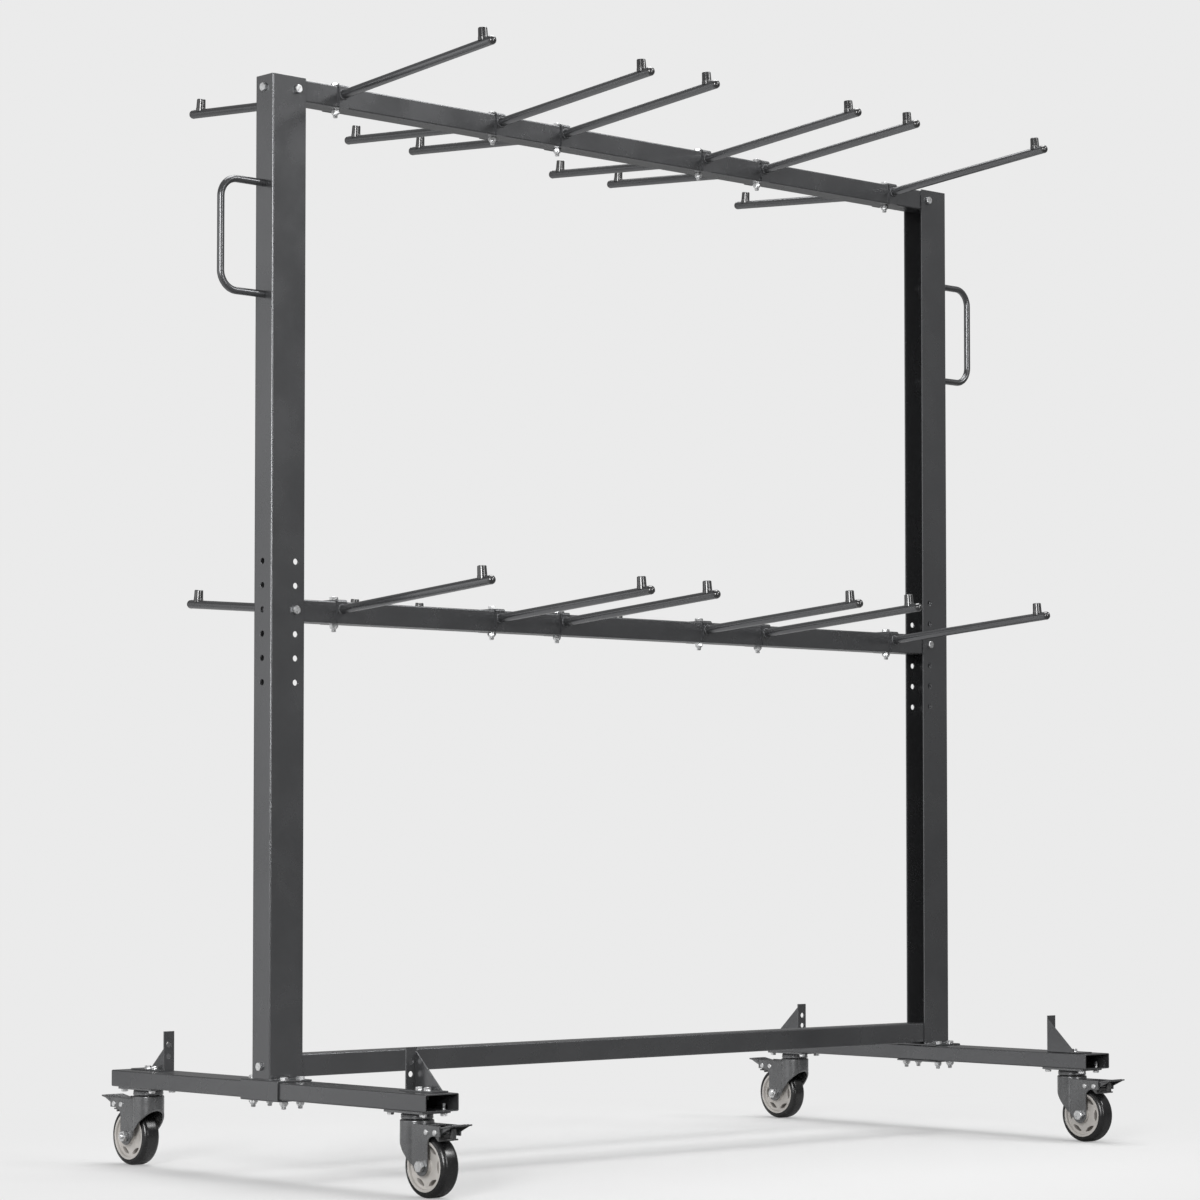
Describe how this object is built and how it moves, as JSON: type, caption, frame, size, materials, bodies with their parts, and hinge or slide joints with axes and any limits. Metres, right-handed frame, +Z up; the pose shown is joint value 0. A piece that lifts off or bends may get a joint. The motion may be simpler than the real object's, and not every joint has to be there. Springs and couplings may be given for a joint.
{
  "type": "stacking chair trolley",
  "caption": "Upright steel trolley with channel posts, cross beams, rising chair arms with end stops, push handles and braked swivel casters, for hanging stacks of folding chairs.",
  "frame": {"origin": "on the floor, under the middle of the trolley", "axes": "+X along the trolley towards its right post, +Y across it towards the back, +Z up"},
  "size_m": [1.838, 0.936, 1.8625],
  "materials": {
    "frame_paint": "satin powder coat",
    "fork_paint": "satin",
    "zinc": "zinc plated",
    "black_plastic": "matte",
    "hub_plastic": "semi gloss",
    "tyre": "smooth"
  },
  "bodies": {
    "frame": {"left_post": "frame_paint", "right_post": "frame_paint", "left_foot_tube": "frame_paint", "right_foot_tube": "frame_paint", "bottom_beam": "frame_paint", "middle_beam": "frame_paint", "top_beam": "frame_paint", "top_arm_1": "frame_paint", "top_arm_2": "frame_paint", "top_arm_3": "frame_paint", "top_arm_4": "frame_paint", "top_arm_5": "frame_paint", "top_arm_6": "frame_paint", "middle_arm_1": "frame_paint", "middle_arm_2": "frame_paint", "middle_arm_3": "frame_paint", "middle_arm_4": "frame_paint", "middle_arm_5": "frame_paint", "middle_arm_6": "frame_paint", "arm_end_caps": "black_plastic", "arm_stop_studs": "black_plastic", "left_handle": "frame_paint", "right_handle": "frame_paint", "arm_bolts": "zinc", "frame_bolts": "zinc", "hex_nuts": "zinc", "flange_screws": "zinc", "swivel_bearings": "zinc", "front_left_stop_bracket": "frame_paint", "front_left_swivel_plate": "fork_paint", "front_right_stop_bracket": "frame_paint", "front_right_swivel_plate": "fork_paint", "rear_left_stop_bracket": "frame_paint", "rear_left_swivel_plate": "fork_paint", "rear_right_stop_bracket": "frame_paint", "rear_right_swivel_plate": "fork_paint"},
    "front_left_swivel": {"front_left_fork": "fork_paint", "front_left_axle": "zinc"},
    "front_left_wheel": {"front_left_wheel_hub": "hub_plastic", "front_left_tyre": "tyre"},
    "front_left_pedal": {"front_left_brake_pedal": "fork_paint", "front_left_brake_pad": "black_plastic"},
    "front_right_swivel": {"front_right_fork": "fork_paint", "front_right_axle": "zinc"},
    "front_right_wheel": {"front_right_wheel_hub": "hub_plastic", "front_right_tyre": "tyre"},
    "front_right_pedal": {"front_right_brake_pedal": "fork_paint", "front_right_brake_pad": "black_plastic"},
    "rear_left_swivel": {"rear_left_fork": "fork_paint", "rear_left_axle": "zinc"},
    "rear_left_wheel": {"rear_left_wheel_hub": "hub_plastic", "rear_left_tyre": "tyre"},
    "rear_left_pedal": {"rear_left_brake_pedal": "fork_paint", "rear_left_brake_pad": "black_plastic"},
    "rear_right_swivel": {"rear_right_fork": "fork_paint", "rear_right_axle": "zinc"},
    "rear_right_wheel": {"rear_right_wheel_hub": "hub_plastic", "rear_right_tyre": "tyre"},
    "rear_right_pedal": {"rear_right_brake_pedal": "fork_paint", "rear_right_brake_pad": "black_plastic"}
  },
  "joints": [
    {"name": "front_left_swivel_turn", "type": "hinge", "parent": "frame", "child": "front_left_swivel", "pos_m": [-0.791, -0.361, 0.119], "axis": [0, 0, 1], "continuous": true},
    {"name": "front_left_wheel_spin", "type": "hinge", "parent": "front_left_swivel", "child": "front_left_wheel", "pos_m": [-0.791, -0.397, 0.05], "axis": [1, 0, 0], "continuous": true},
    {"name": "front_left_brake_press", "type": "hinge", "parent": "front_left_swivel", "child": "front_left_pedal", "pos_m": [-0.791, -0.431, 0.104], "axis": [1, 0, 0], "range_deg": [0, 15]},
    {"name": "front_right_swivel_turn", "type": "hinge", "parent": "frame", "child": "front_right_swivel", "pos_m": [0.791, -0.361, 0.119], "axis": [0, 0, 1], "continuous": true},
    {"name": "front_right_wheel_spin", "type": "hinge", "parent": "front_right_swivel", "child": "front_right_wheel", "pos_m": [0.791, -0.397, 0.05], "axis": [1, 0, 0], "continuous": true},
    {"name": "front_right_brake_press", "type": "hinge", "parent": "front_right_swivel", "child": "front_right_pedal", "pos_m": [0.791, -0.431, 0.104], "axis": [1, 0, 0], "range_deg": [0, 15]},
    {"name": "rear_left_swivel_turn", "type": "hinge", "parent": "frame", "child": "rear_left_swivel", "pos_m": [-0.791, 0.361, 0.119], "axis": [0, 0, 1], "continuous": true},
    {"name": "rear_left_wheel_spin", "type": "hinge", "parent": "rear_left_swivel", "child": "rear_left_wheel", "pos_m": [-0.791, 0.397, 0.05], "axis": [1, 0, 0], "continuous": true},
    {"name": "rear_left_brake_press", "type": "hinge", "parent": "rear_left_swivel", "child": "rear_left_pedal", "pos_m": [-0.791, 0.431, 0.104], "axis": [-1, 0, 0], "range_deg": [0, 15]},
    {"name": "rear_right_swivel_turn", "type": "hinge", "parent": "frame", "child": "rear_right_swivel", "pos_m": [0.791, 0.361, 0.119], "axis": [0, 0, 1], "continuous": true},
    {"name": "rear_right_wheel_spin", "type": "hinge", "parent": "rear_right_swivel", "child": "rear_right_wheel", "pos_m": [0.791, 0.397, 0.05], "axis": [1, 0, 0], "continuous": true},
    {"name": "rear_right_brake_press", "type": "hinge", "parent": "rear_right_swivel", "child": "rear_right_pedal", "pos_m": [0.791, 0.431, 0.104], "axis": [-1, 0, 0], "range_deg": [0, 15]}
  ]
}
